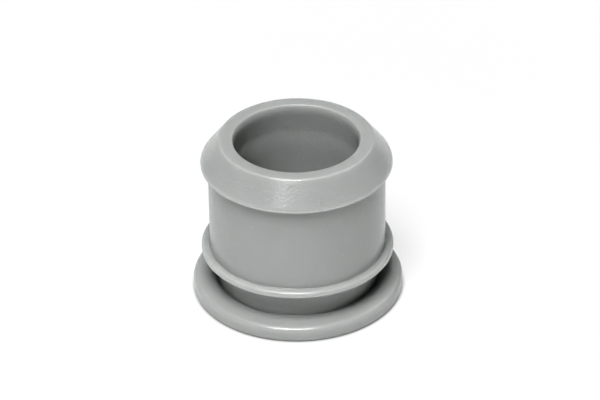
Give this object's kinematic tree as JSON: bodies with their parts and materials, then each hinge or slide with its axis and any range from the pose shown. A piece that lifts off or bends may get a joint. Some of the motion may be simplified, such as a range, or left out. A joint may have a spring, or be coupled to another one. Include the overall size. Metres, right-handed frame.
{
  "type": "hot tub hose adapter",
  "caption": "Short tubular push-in fitting in grey plastic: bevelled snap collar at the top, plain barrel, thin bead, seal channel and round foot flange, with a bore right through.",
  "frame": {"origin": "on the axis, in the plane of the foot flange's underside", "axes": "+Z along the axis of the bore, from the foot flange to the rim; X and Y are alike, because the part is a body of revolution"},
  "size_m": [0.0454, 0.0454, 0.0369],
  "materials": {
    "grey_plastic": "satin moulded plastic, light neutral grey"
  },
  "bodies": {
    "root": {"adapter": "grey_plastic"}
  },
  "joints": []
}
